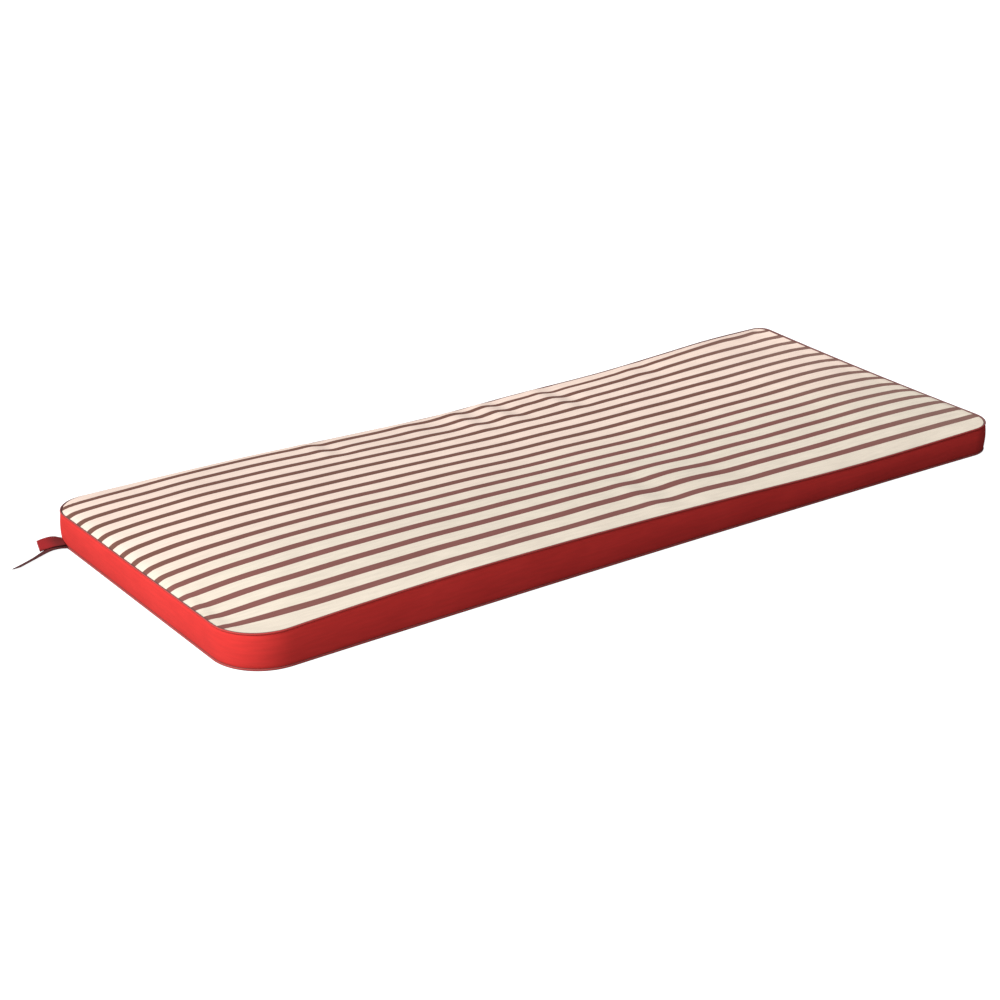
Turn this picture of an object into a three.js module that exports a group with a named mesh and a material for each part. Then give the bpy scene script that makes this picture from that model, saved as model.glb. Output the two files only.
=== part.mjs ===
// Lounge chair cushion: a long box cushion, one filled pad under a red boxing strip and base
// panel, with a piping in each seam and a pair of tie tapes at the back left corner.
// Millimetres, +Z up. The origin is the middle of the flat underside. +X runs along the length
// to the right, -Y is the front and +Y is the back.

import * as THREE from "three";

// Driving dimensions
const LENGTH = 1250;
const WIDTH = 514;
const CORNER_RADIUS = { frontRight: 42, backRight: 20, backLeft: 48, frontLeft: 70 };
const DRAW_IN = { front: 6, back: 3, left: 0, right: 5 };
const CLOTH = 2;
const PIPING_RADIUS = 1.5;
const PIPING_INSET = 0.8;
const BULGE = 1.5;
const GAP = 0.3;

// How the pad's rim clears the pipings: along the side, inward, and a slant between the two
const RIM_CLEAR = 1.8;
const RIM_INSET = 2.7;
const RIM_SLANT = 0.8;
const RIM_RISE = 0.6;
const TOP_START_RISE = 1;

// Height of the top seam over the surface, at places along the length
const SEAM = [
  { x: -625, front: 48, back: 44.5 },
  { x: -475, front: 52.5, back: 44 },
  { x: -325, front: 54.5, back: 42 },
  { x: -175, front: 53, back: 37 },
  { x: -15, front: 49.5, back: 32.5 },
  { x: 140, front: 45, back: 34.5 },
  { x: 290, front: 40, back: 35 },
  { x: 400, front: 38.5, back: 39 },
  { x: 510, front: 39.5, back: 43.5 },
  { x: 625, front: 41.5, back: 43 },
];

// How far the filled top stands over its seams, on five lines along the length
const CROWN = [
  { x: -605, front: -2.5, nearFront: -2, middle: 6, nearBack: 7, back: 2.5 },
  { x: -560, front: -2.5, nearFront: 3, middle: 12.5, nearBack: 11, back: 4 },
  { x: -510, front: -1.5, nearFront: 6.5, middle: 15.5, nearBack: 13, back: 4.5 },
  { x: -440, front: -1, nearFront: 7.5, middle: 17, nearBack: 14, back: 6 },
  { x: -300, front: 0, nearFront: 8, middle: 15.5, nearBack: 12.5, back: 5.5 },
  { x: -150, front: 0.5, nearFront: 8, middle: 14.5, nearBack: 11, back: 3 },
  { x: 0, front: 2, nearFront: 8.5, middle: 13, nearBack: 9, back: 3 },
  { x: 150, front: 1.5, nearFront: 8, middle: 10, nearBack: 6.5, back: -1 },
  { x: 300, front: 3, nearFront: 8, middle: 9.5, nearBack: 6, back: -2.5 },
  { x: 450, front: 2.5, nearFront: 7.5, middle: 8, nearBack: 2, back: -4 },
  { x: 560, front: 0.5, nearFront: 4.5, middle: 5, nearBack: 0.5, back: -5.5 },
  { x: 605, front: -0.5, nearFront: 2.5, middle: 1.5, nearBack: -1, back: -4 },
];
const CROWN_LINE_Y = { front: -220, nearFront: -170, middle: -60, nearBack: 110, back: 235 };
const CROWN_REACH = 30;
const CROWN_POWER = 2.2;

// A pucker starts softly at its seam and fades out over the far part of its length
const PUCKER_START = { before: 6, after: 14 };
const PUCKER_FADE_FROM = 0.45;

// Puckers that run in from a long seam: a ridge and beside it a trough. The lean is how far a
// pucker drifts along X over its length, and from and to are distances in from the seam.
const PUCKERS = [
  { side: "back", x: -227, lean: 0, from: 0, to: 110, width: 26, height: 1.2 },
  { side: "back", x: -60, lean: 0, from: 0, to: 130, width: 46, height: 0.9 },
  { side: "back", x: 21, lean: -12, from: 0, to: 150, width: 30, height: 1.3 },
  { side: "back", x: 76, lean: 0, from: 0, to: 140, width: 28, height: 1.5 },
  { side: "back", x: 176, lean: 0, from: 0, to: 150, width: 30, height: 1.6 },
  { side: "back", x: 352, lean: 0, from: 0, to: 90, width: 34, height: 0.8 },
  { side: "front", x: 42, lean: -16, from: 12, to: 180, width: 40, height: 1.1 },
  { side: "front", x: 150, lean: -10, from: 12, to: 180, width: 80, height: 1 },
];

// Tie tapes: a short one that leans to the front and a longer one that lies out to the left.
// A row is a place on the tape's middle line, and tilt is the lean of its width in degrees.
const TAPE_WIDTH = 18;
const TAPE_THICKNESS = 1.4;
const SHORT_TIE = [
  { x: -625.9, y: 213.6, z: 8, tilt: 12 },
  { x: -634, y: 214.2, z: 9.8, tilt: 22 },
  { x: -642, y: 216, z: 10.4, tilt: 28 },
  { x: -651, y: 217, z: 9.5, tilt: 30 },
  { x: -660.5, y: 217.5, z: 8, tilt: 28 },
];
const LONG_TIE = [
  { x: -626, y: 208.5, z: 3.2, tilt: 0 },
  { x: -636, y: 208.6, z: 3.8, tilt: -8 },
  { x: -646.5, y: 207, z: 4.3, tilt: -13 },
  { x: -658, y: 202, z: 4.8, tilt: -20 },
  { x: -673, y: 194, z: 5.1, tilt: -25 },
  { x: -688, y: 187, z: 5.1, tilt: -26 },
  { x: -701, y: 181.5, z: 5, tilt: -26 },
  { x: -708.5, y: 178.5, z: 4.9, tilt: -25 },
];

// Steps of the mesh along the outline and into the top
const COARSE_STEP = 44;
const FINE_STEP = 15;
const FINE_BACK = { from: -265, to: 215 };
const FINE_FRONT = { from: 0, to: 240 };
const CORNER_STEPS = 6;
const SIDE_FRACTIONS = [0, 0.33, 0.67, 1];
const PIPING_SIDES = 8;
const TOP_RINGS = [0.02, 0.045, 0.085, 0.14, 0.22, 0.34, 0.5, 0.7, 0.9];

const HALF_LENGTH = LENGTH / 2;
const HALF_WIDTH = WIDTH / 2;
const SPINE_HALF = HALF_LENGTH - HALF_WIDTH;
const BASE_SEAM_Z = PIPING_RADIUS + 0.2;

const COLOUR = { top: 0xe3cdbd, red: 0xcc2e29, piping: 0xc62f2a, tie: 0xa02630 };
const ROUGHNESS = { top: 0.9, boxing: 0.85, base: 0.9, piping: 0.8, tie: 0.85 };

// A smooth curve through the rows of a table, in the named column
function readCurve(rows, column, x) {
  const last = rows.length - 1;
  let i = 0;
  while (i < last - 1 && x > rows[i + 1].x) {
    i += 1;
  }
  const a = rows[i];
  const b = rows[i + 1];
  const before = rows[Math.max(i - 1, 0)];
  const after = rows[Math.min(i + 2, last)];
  const span = b.x - a.x;
  const u = THREE.MathUtils.clamp((x - a.x) / span, 0, 1);
  const slopeA = ((b[column] - before[column]) / (b.x - before.x)) * span;
  const slopeB = ((after[column] - a[column]) / (after.x - a.x)) * span;
  const u2 = u * u;
  const u3 = u2 * u;
  return (
    (2 * u3 - 3 * u2 + 1) * a[column] +
    (u3 - 2 * u2 + u) * slopeA +
    (3 * u2 - 2 * u3) * b[column] +
    (u3 - u2) * slopeB
  );
}

// Values from start to end at about the given step, without the end itself
function spread(start, end, step) {
  const count = Math.max(1, Math.round(Math.abs(end - start) / step));
  return Array.from({ length: count }, (_, i) => start + ((end - start) * i) / count);
}

// One corner as stations: place on the outline and its outward direction
function cornerStations(signX, signY, radius, startAngle) {
  const centreX = signX * (HALF_LENGTH - radius);
  const centreY = signY * (HALF_WIDTH - radius);
  return Array.from({ length: CORNER_STEPS + 1 }, (_, i) => {
    const angle = THREE.MathUtils.degToRad(startAngle + (90 * i) / CORNER_STEPS);
    const nx = Math.cos(angle);
    const ny = Math.sin(angle);
    return { x: centreX + radius * nx, y: centreY + radius * ny, nx, ny };
  });
}

// Straight stretches between the corners, without their first place
function longSideStations(y, ny, start, end, fine) {
  const forward = end > start;
  const near = forward ? fine.from : fine.to;
  const far = forward ? fine.to : fine.from;
  const places = [
    ...spread(start, near, COARSE_STEP),
    ...spread(near, far, FINE_STEP),
    ...spread(far, end, COARSE_STEP),
  ];
  return places.slice(1).map((x) => ({ x, y, nx: 0, ny }));
}

function shortSideStations(x, nx, start, end) {
  return spread(start, end, COARSE_STEP)
    .slice(1)
    .map((y) => ({ x, y, nx, ny: 0 }));
}

// The whole outline, anticlockwise from the right end of the front
function outlineStations() {
  const r = CORNER_RADIUS;
  return [
    ...cornerStations(1, -1, r.frontRight, 270),
    ...shortSideStations(HALF_LENGTH, 1, r.frontRight - HALF_WIDTH, HALF_WIDTH - r.backRight),
    ...cornerStations(1, 1, r.backRight, 0),
    ...longSideStations(HALF_WIDTH, 1, HALF_LENGTH - r.backRight, r.backLeft - HALF_LENGTH, FINE_BACK),
    ...cornerStations(-1, 1, r.backLeft, 90),
    ...shortSideStations(-HALF_LENGTH, -1, HALF_WIDTH - r.backLeft, r.frontLeft - HALF_WIDTH),
    ...cornerStations(-1, -1, r.frontLeft, 180),
    ...longSideStations(
      -HALF_WIDTH, -1, r.frontLeft - HALF_LENGTH, HALF_LENGTH - r.frontRight, FINE_FRONT),
  ];
}

// A place at a height, after the sides are drawn in between the corners
function drawnPlace(x, y, z) {
  const alongX = x < 0 ? DRAW_IN.left : DRAW_IN.right;
  const alongY = y < 0 ? DRAW_IN.front : DRAW_IN.back;
  const shareX = Math.max(0, 1 - (y / HALF_WIDTH) ** 2) / HALF_LENGTH;
  const shareY = Math.max(0, 1 - (x / HALF_LENGTH) ** 2) / HALF_WIDTH;
  return new THREE.Vector3(x * (1 - alongX * shareX), y * (1 - alongY * shareY), z);
}

function seamHeight(x, y) {
  const toBack = THREE.MathUtils.clamp((y + HALF_WIDTH) / WIDTH, 0, 1);
  const front = readCurve(SEAM, "front", x);
  const back = readCurve(SEAM, "back", x);
  return front + (back - front) * toBack;
}

// Full crown over the seams, before it falls away at the edge
function fullCrown(x, y) {
  const lines = Object.keys(CROWN_LINE_Y).map((name) => ({
    x: CROWN_LINE_Y[name],
    height: readCurve(CROWN, name, x),
  }));
  return readCurve(lines, "height", y);
}

// Share of the full crown that is reached at a distance in from the seam
function crownRise(inset) {
  return 1 - (1 - Math.min(inset / CROWN_REACH, 1)) ** CROWN_POWER;
}

// One wave across a pucker, from 1 at its ridge to -1 at its trough
function ridgeAndTrough(across) {
  return -2 * across * Math.exp(0.5 - 2 * across * across);
}

// Height that the puckers add at a place, as far in from the seam as inset
function puckerHeight(x, y, inset) {
  let sum = 0;
  for (const fold of PUCKERS) {
    const onSide = fold.side === "back" ? y > 0 : y < 0;
    if (!onSide || inset > fold.to) {
      continue;
    }
    const middle = fold.x + (fold.lean * (inset - fold.from)) / (fold.to - fold.from);
    const across = (x - middle) / fold.width;
    const wave = ridgeAndTrough(across);
    const start = THREE.MathUtils.smoothstep(
      inset, fold.from - PUCKER_START.before, fold.from + PUCKER_START.after);
    const fade = 1 - THREE.MathUtils.smoothstep(inset, fold.to * PUCKER_FADE_FROM, fold.to);
    sum += fold.height * wave * start * fade;
  }
  return sum;
}

// A place in from the outline by an even distance, at a height
function insetPoint(station, inset, z) {
  const x = station.x - station.nx * inset;
  const y = station.y - station.ny * inset;
  return drawnPlace(x, y, z);
}

// A place on the top, the fraction of the way from the outline to the middle line
function topPoint(station, fraction) {
  const spineX = THREE.MathUtils.clamp(station.x, -SPINE_HALF, SPINE_HALF);
  const x = station.x + (spineX - station.x) * fraction;
  const y = station.y * (1 - fraction);
  const inset = fraction * HALF_WIDTH;
  const crown = fullCrown(x, y) * crownRise(inset);
  const z = seamHeight(x, y) + TOP_START_RISE + crown + puckerHeight(x, y, inset);
  return drawnPlace(x, y, z);
}

// How far the boxing bulges out at a fraction of its height
function bulge(fraction) {
  return BULGE * Math.sin(Math.PI * fraction);
}

// A closed body through rings of equal length. Its ends are capped, or joined in a loop.
function ringBody(rings, joined) {
  const size = rings[0].length;
  const corners = rings.flat();
  const faces = [];
  const spans = joined ? rings.length : rings.length - 1;
  for (let i = 0; i < spans; i += 1) {
    const low = i * size;
    const high = ((i + 1) % rings.length) * size;
    for (let j = 0; j < size; j += 1) {
      const k = (j + 1) % size;
      faces.push([low + j, low + k, high + k], [low + j, high + k, high + j]);
    }
  }
  if (!joined) {
    faces.push(...capFaces(rings[0], 0).map((f) => [f[0], f[2], f[1]]));
    faces.push(...capFaces(rings[rings.length - 1], (rings.length - 1) * size));
  }
  const geometry = new THREE.BufferGeometry().setFromPoints(corners);
  geometry.setIndex(outwardFaces(corners, faces).flat());
  geometry.computeVertexNormals();
  return geometry;
}

// Triangles over the end of a body, laid out in the ring's own plane
function capFaces(ring, offset) {
  const normal = ringNormal(ring);
  const aside = Math.abs(normal.z) < 0.9 ? new THREE.Vector3(0, 0, 1) : new THREE.Vector3(1, 0, 0);
  const u = new THREE.Vector3().crossVectors(aside, normal).normalize();
  const v = new THREE.Vector3().crossVectors(normal, u);
  const flat = ring.map((p) => new THREE.Vector2(p.dot(u), p.dot(v)));
  return THREE.ShapeUtils.triangulateShape(flat, []).map((f) => f.map((i) => i + offset));
}

// Mean normal of a ring's area
function ringNormal(ring) {
  const sum = new THREE.Vector3();
  ring.forEach((p, i) => {
    const q = ring[(i + 1) % ring.length];
    sum.add(new THREE.Vector3().crossVectors(p, q));
  });
  return sum.normalize();
}

// The same faces, turned over if they enclose a negative volume
function outwardFaces(corners, faces) {
  const volume = faces.reduce((sum, [a, b, c]) => {
    const cross = new THREE.Vector3().crossVectors(corners[b], corners[c]);
    return sum + corners[a].dot(cross);
  }, 0);
  return volume < 0 ? faces.map(([a, b, c]) => [a, c, b]) : faces;
}

function namedMesh(name, geometry, colour, roughness) {
  const material = new THREE.MeshStandardMaterial({ color: colour, roughness, metalness: 0 });
  material.name = name;
  const mesh = new THREE.Mesh(geometry, material);
  mesh.name = name;
  return mesh;
}

// One filled body: flat underside, sides that follow the boxing, and the crowned top
function cushionPad(stations) {
  const behindCloth = CLOTH + GAP;
  const low = BASE_SEAM_Z + RIM_CLEAR;
  const seam = (s) => seamHeight(s.x, s.y);
  const rings = [
    stations.map((s) => insetPoint(s, RIM_INSET, behindCloth)),
    stations.map((s) => insetPoint(s, RIM_INSET, low - RIM_SLANT)),
  ];
  for (const fraction of SIDE_FRACTIONS) {
    rings.push(
      stations.map((s) => {
        const high = seam(s) - RIM_CLEAR;
        return insetPoint(s, behindCloth - bulge(fraction), low + (high - low) * fraction);
      }),
    );
  }
  rings.push(stations.map((s) => insetPoint(s, RIM_INSET, seam(s) - RIM_CLEAR + RIM_SLANT)));
  rings.push(stations.map((s) => insetPoint(s, RIM_INSET, seam(s) + RIM_RISE)));
  for (const fraction of TOP_RINGS) {
    rings.push(stations.map((s) => topPoint(s, fraction)));
  }
  return ringBody(rings, false);
}

// The strip round the sides, between the two pipings
function boxingStrip(stations) {
  const low = BASE_SEAM_Z + PIPING_RADIUS + GAP;
  const section = [
    ...SIDE_FRACTIONS.map((fraction) => ({ fraction, depth: 0 })),
    ...SIDE_FRACTIONS.toReversed().map((fraction) => ({ fraction, depth: CLOTH })),
  ];
  const rings = section.map(({ fraction, depth }) =>
    stations.map((s) => {
      const high = seamHeight(s.x, s.y) - PIPING_RADIUS - GAP;
      return insetPoint(s, depth - bulge(fraction), low + (high - low) * fraction);
    }),
  );
  return ringBody(rings, true);
}

// A round cord cover sewn into a seam, all the way round
function piping(stations, heightAt) {
  const rings = Array.from({ length: PIPING_SIDES }, (_, i) => {
    const angle = (2 * Math.PI * i) / PIPING_SIDES;
    const out = PIPING_RADIUS * Math.cos(angle);
    const up = PIPING_RADIUS * Math.sin(angle);
    return stations.map((s) => insetPoint(s, PIPING_INSET - out, heightAt(s) + up));
  });
  return ringBody(rings, true);
}

// The plain flat cloth underneath, which rests on the surface
function basePanel(stations) {
  const edge = PIPING_INSET + PIPING_RADIUS + GAP;
  const bottom = stations.map((s) => insetPoint(s, edge, 0));
  const top = stations.map((s) => insetPoint(s, edge, CLOTH));
  return ringBody([bottom, top], false);
}

// A flat tape along the rows of a table, its width laid across the route
function tieTape(rows) {
  const places = rows.map((row) => new THREE.Vector3(row.x, row.y, row.z));
  const rings = places.map((place, i) => {
    const before = places[Math.max(i - 1, 0)];
    const after = places[Math.min(i + 1, places.length - 1)];
    const along = new THREE.Vector3().subVectors(after, before).normalize();
    const level = new THREE.Vector3(along.y, -along.x, 0).normalize();
    const across = level.applyAxisAngle(along, -THREE.MathUtils.degToRad(rows[i].tilt));
    const up = new THREE.Vector3().crossVectors(across, along).normalize();
    const half = across.multiplyScalar(TAPE_WIDTH / 2);
    const rise = up.multiplyScalar(TAPE_THICKNESS / 2);
    return [
      place.clone().add(half).add(rise),
      place.clone().sub(half).add(rise),
      place.clone().sub(half).sub(rise),
      place.clone().add(half).sub(rise),
    ];
  });
  return ringBody(rings, false);
}

const outline = outlineStations();
const topPiping = piping(outline, (s) => seamHeight(s.x, s.y));
const basePiping = piping(outline, () => BASE_SEAM_Z);
const cushion = new THREE.Group();
cushion.name = "lounge_chair_cushion";
cushion.add(
  namedMesh("cushion_pad", cushionPad(outline), COLOUR.top, ROUGHNESS.top),
  namedMesh("boxing", boxingStrip(outline), COLOUR.red, ROUGHNESS.boxing),
  namedMesh("base_panel", basePanel(outline), COLOUR.red, ROUGHNESS.base),
  namedMesh("piping_top", topPiping, COLOUR.piping, ROUGHNESS.piping),
  namedMesh("piping_base", basePiping, COLOUR.piping, ROUGHNESS.piping),
  namedMesh("tie_short", tieTape(SHORT_TIE), COLOUR.tie, ROUGHNESS.tie),
  namedMesh("tie_long", tieTape(LONG_TIE), COLOUR.tie, ROUGHNESS.tie),
);

export default cushion;
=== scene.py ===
"""Lounge chair cushion: a filled striped top, a red boxing strip and base panel, two pipings and
a pair of tie tapes, with a plain pale studio round it."""

import functools
import math

import bpy
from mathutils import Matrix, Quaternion, Vector, noise


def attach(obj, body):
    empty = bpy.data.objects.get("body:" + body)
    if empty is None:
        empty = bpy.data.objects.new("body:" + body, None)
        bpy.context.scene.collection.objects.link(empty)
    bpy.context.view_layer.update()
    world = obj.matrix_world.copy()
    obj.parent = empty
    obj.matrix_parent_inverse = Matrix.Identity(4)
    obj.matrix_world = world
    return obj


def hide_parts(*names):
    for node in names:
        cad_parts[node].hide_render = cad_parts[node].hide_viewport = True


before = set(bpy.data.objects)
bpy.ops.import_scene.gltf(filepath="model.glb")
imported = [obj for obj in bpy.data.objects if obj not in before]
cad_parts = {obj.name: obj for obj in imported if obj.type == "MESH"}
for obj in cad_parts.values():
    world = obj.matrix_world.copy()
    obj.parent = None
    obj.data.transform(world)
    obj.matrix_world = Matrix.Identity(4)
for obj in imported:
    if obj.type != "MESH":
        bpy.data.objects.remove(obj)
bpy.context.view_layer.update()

bl_info = {
    "name": "Lounge chair cushion",
    "version": (1, 0, 0),
    "blender": (4, 5, 0),
    "location": "View3D > Sidebar > Cushion",
    "description": "Makes a striped box cushion with piped seams and tie tapes",
    "category": "Object",
}

BODY = "root"
MM = 0.001


def table(columns, *rows):
    """Rows of values that are named by their columns."""
    return [dict(zip(columns.split(), row)) for row in rows]


# Outline of the cushion and how far its sides are drawn in, in millimetres
LENGTH = 1250
WIDTH = 514
CORNER_RADIUS = {"front_right": 42, "back_right": 20, "back_left": 48, "front_left": 70}
DRAW_IN = {"front": 6, "back": 3, "left": 0, "right": 5}
HALF_LENGTH = LENGTH / 2
HALF_WIDTH = WIDTH / 2

# Cloth, pipings and the rim of the filled top, in millimetres
CLOTH = 2
GAP = 0.3
PIPING_INSET = 0.8
BASE_SEAM_Z = 1.7
BULGE = 1.5
RIM_INSET = 2.7
RIM_CLEAR = 1.8
RIM_SLANT = 0.8
TOP_START_RISE = 1

# How deep the top cloth dips into its seam on each side, and how far in the dip reaches
RIM_TUCK = {"front": 1, "back": -0.6, "left": 1.5, "right": 0.8}
TUCK_REACH = 12

# Height of the top seam over the surface, at places along the length
SEAM = table(
    "x front back",
    (-625, 48, 44.5),
    (-475, 52.5, 44),
    (-325, 54.5, 42),
    (-175, 53, 37),
    (-15, 49.5, 32.5),
    (140, 45, 34.5),
    (290, 40, 35),
    (400, 38.5, 39),
    (510, 39.5, 43.5),
    (625, 41.5, 43),
)

# How far the filled top stands over its seams, on five lines along the length
CROWN = table(
    "x front near_front middle near_back back",
    (-605, -2.5, -2, 6, 7, 2.5),
    (-560, -2.5, 3, 12.5, 11, 4),
    (-510, -1.5, 6.5, 15.5, 13, 4.5),
    (-440, -1, 7.5, 17, 14, 6),
    (-300, 0, 8, 15.5, 12.5, 5.5),
    (-150, 0.5, 8, 14.5, 11, 3),
    (0, 2, 8.5, 13, 9, 3),
    (150, 1.5, 8, 10, 6.5, -1),
    (300, 3, 8, 9.5, 6, -2.5),
    (450, 2.5, 7.5, 8, 2, -4),
    (560, 0.5, 4.5, 5, 0.5, -5.5),
    (605, -0.5, 2.5, 1.5, -1, -4),
)
CROWN_LINE_Y = {"front": -220, "near_front": -170, "middle": -60, "near_back": 110, "back": 235}
CROWN_REACH = 30
CROWN_POWER = 2.2

# Puckers that run in from a long seam: a ridge and beside it a trough. The lean is how far a
# pucker drifts along X over its length, and start and end are distances in from the seam.
PUCKERS = table(
    "side x lean start end width height",
    ("back", -227, 0, 0, 110, 26, 1.2),
    ("back", -60, 0, 0, 130, 46, 0.9),
    ("back", 21, -12, 0, 150, 30, 1.3),
    ("back", 76, 0, 0, 140, 28, 1.5),
    ("back", 176, 0, 0, 150, 30, 1.6),
    ("back", 352, 0, 0, 90, 34, 0.8),
    ("front", 42, -16, 12, 180, 40, 1.1),
    ("front", 150, -10, 12, 180, 80, 1),
)
PUCKER_START = {"before": 6, "after": 14}
PUCKER_FADE_FROM = 0.45

# Where the middle stripe runs, and how far apart the stripes lie, at places along the length
STRIPES = table(
    "x middle pitch",
    (-625, 17, 30.8),
    (-560, 11, 31.6),
    (-480, 8, 32.2),
    (-150, 8, 32.5),
    (150, 11, 32.7),
    (400, 15, 33),
    (625, 15, 33.2),
)

# Towards the right end the stripes bend to the front, apart from the ones along the front
END_BEND = {"by": 7, "from_x": 595, "to_x": 625, "from_y": -190, "to_y": -60}

# The last stripe at the back lies further in from its seam, at places along the length
LAST_STRIPE = (
    (-625, 2), (-560, 3), (-400, 1), (-150, 0), (0, 0), (100, 2), (205, 4), (333, 4.5),
    (461, 3), (536, 1), (566, 2), (600, 1),
)
LAST_STRIPE_FADE = {"from_y": 216, "to_y": 238}

# Small unevenness of the filling and of the gathered cloth beside the seams. It sets in between
# two distances in from the outline. The layers are where the other sides lie in the same noise.
LUMPS = {"height": 0.9, "across": 95, "from": 4, "to": 60}
GATHERS = {"height": 0.7, "across": 26, "reach": 34, "from": 3, "to": 9, "layers": (7, 11)}

# Soft dents of the boxing: two waves of noise round the outline, the second further on
SIDE_WAVES = {
    "height": 0.7, "across": 70, "share_step": 1.3, "layer": 4.2, "turn": 6.28, "further": 500,
}

# Middle lines of the tie tapes. The tilt is the lean of the tape's width in degrees.
SHORT_TIE = table(
    "x y z tilt",
    (-625.9, 213.6, 8, 12),
    (-634, 214.2, 9.8, 22),
    (-642, 216, 10.4, 28),
    (-651, 217, 9.5, 30),
    (-660.5, 217.5, 8, 28),
)
LONG_TIE = table(
    "x y z tilt",
    (-626, 208.5, 3.2, 0),
    (-636, 208.6, 3.8, -8),
    (-646.5, 207, 4.3, -13),
    (-658, 202, 4.8, -20),
    (-673, 194, 5.1, -25),
    (-688, 187, 5.1, -26),
    (-701, 181.5, 5, -26),
    (-708.5, 178.5, 4.9, -25),
)

# How far the free end of each tape is cut at a slant, and where along the tape that sets in
SHORT_SLANT = -1.8
LONG_SLANT = 1.0
SLANT_FROM = 0.55

# Section of a tape, which thins to a share of its thickness at the two edges
TAPE_SECTION = {"steps": 12, "power": 8, "edge_share": 0.35}

# Mesh steps in millimetres, degrees and shares of a height. The outline runs straight on where
# the product of two directions is over STRAIGHT_ON.
TOP_STEP = 4.5
EDGE_DISTANCES = (0, 0.8, 1.8, 3, 4.6, 6.6, 9, 12, 16, 20.5)
END_ANGLES = 16
SIDE_STEP = 6
SIDE_SHARES = (1, 0.8, 0.6, 0.4, 0.2, 0)
CORNER_STEP = 4
STRAIGHT_ON = 0.9999
BOXING_EDGE = {"clear": 0.15, "turned_in": 0.6, "settled_from": -0.01, "settled_by": 0.07}
BOXING_SHARES = (
    0, 0.02, 0.045, 0.08, 0.13, 0.2, 0.3, 0.4, 0.5, 0.6, 0.7, 0.8, 0.87, 0.92, 0.955, 0.98, 1,
)
BASE_ROUNDING = 0.5
TAPE_STEPS = 8

# Noises of the cloth: soft patches, slubs stretched along the threads, and lumps of a piping
NOISE_MIDDLE = 0.5
PATCHES = {"scale": 9.0, "detail": 3.0, "roughness": 0.55}
SLUBS = {"scale": 260.0, "detail": 2.0, "stretched": (0.12, 1.0, 1.0), "height": 0.5}
PIPING_LUMPS = {"scale": 45.0, "share": 0.05}

# How light the cloth is from one end of each noise's usual range to the other
USUAL = (0.3, 0.7)
PATCH_SHADES = (0.955, 1.02)
SLUB_SHADES = (0.95, 1.03)
THREAD_HEIGHTS = (0.15, 0.85)
THREAD_SHADES = (0.86, 1.03)
ROUGHNESS = (0.82, 0.95)
SHEEN = {"Specular IOR Level": 0.08, "Sheen Weight": 0.02, "Sheen Roughness": 0.55}
BUMP_DISTANCE = 0.0006
BUMP = {"top_cloth": 0.12, "side_cloth": 0.15, "piping_cloth": 0.15, "tie_tape": 0.2}
PIPING_BIAS = math.radians(45)

# Edges of the stripes, and where the striped cloth has aged or paled, in metres
STRIPE_EDGE = {"ragged": 0.0005, "soft": 0.0004}
AGED = {"from_y": 0.12, "to_y": -0.18, "uneven": 0.9}
PALED = {"from_x": 0.35, "to_x": 0.62, "share": 0.8}

# Share of the pitch that the roll takes up on either side of the last stripe. It grows between
# two places along the length, in metres, and sets in between two shares of a pitch further out.
LAST_STRIPE_TAKEN = {"share": 0.07, "from_x": 0.0, "to_x": 0.2, "before": (0.6, 0.5)}

# Dyed cloth pales in patches, where their noise lies between two values
PALER_RED = (0.70, 0.045, 0.038, 1.0)
PALE_PATCHES = {"range": (0.4, 0.75), "share": 0.35}

# Painted shade on the pipings, darkening them where shade falls: the upper one where it faces into
# its fold beside the outline, and the lower one by its height in metres, low by the floor
UPPER_PAINTED_SHADE = {"power": 8.0, "facing": (-1.0, -0.2), "shares": (0.25, 1.0)}
LOWER_PAINTED_SHADE = {"heights": (0.01, 0.02), "shares": (0.6, 0.0)}

# Where a tape is out of its painted shadow: from and to a place on each axis in metres, and its
# share at the first
UNSHADED_TAPE = {"Z": (0.003, 0.007, 0.0), "Y": (0.203, 0.209, 0.0), "X": (-0.634, -0.654, 0.3)}

# Camera: turned from the front and raised, in degrees, with its distance and aim in metres
VIEW = {"azimuth": -35.36, "elevation": 23.29, "distance": 3.2116, "lens": 83.99}
VIEW_TARGET = (-0.0689, 0.0072, 0.0006)
SENSOR_WIDTH = 36.0
VIEW_END = 200.0

# Lights: the way that the key light comes from, and a soft box beside the front left corner
KEY_FROM = (-1.0, 0.105, 0.98)
KEY_ANGLE = math.radians(35)
CORNER_LIGHT = {"place": (-1.3, -1.0, 0.55), "aim": (-0.5, -0.2, 0.0), "size": 0.6}

# Floor and surroundings
FLOOR_REACH = 30.0
FLOOR_GREY = (0.3, 0.3, 0.3, 1.0)
FLOOR_BOUNCE = (0.1, 0.1, 0.1, 1.0)
FLOOR_GLOW = 0.97
WHITE = (1.0, 1.0, 1.0, 1.0)
COOL_WHITE = (0.92, 1.0, 1.1, 1.0)


# Settings


def number_setting(name, description, default, **kept):
    """A number that a user can change."""
    return bpy.props.FloatProperty(name=name, description=description, default=default, **kept)


def length_setting(name, description, default):
    """A length that a user can change."""
    return number_setting(name, description, default, unit="LENGTH")


def colour_setting(name, description, *rgb):
    """A colour that a user can change."""
    return bpy.props.FloatVectorProperty(
        name=name, description=description, default=(*rgb, 1.0), size=4, subtype="COLOR")


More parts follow.
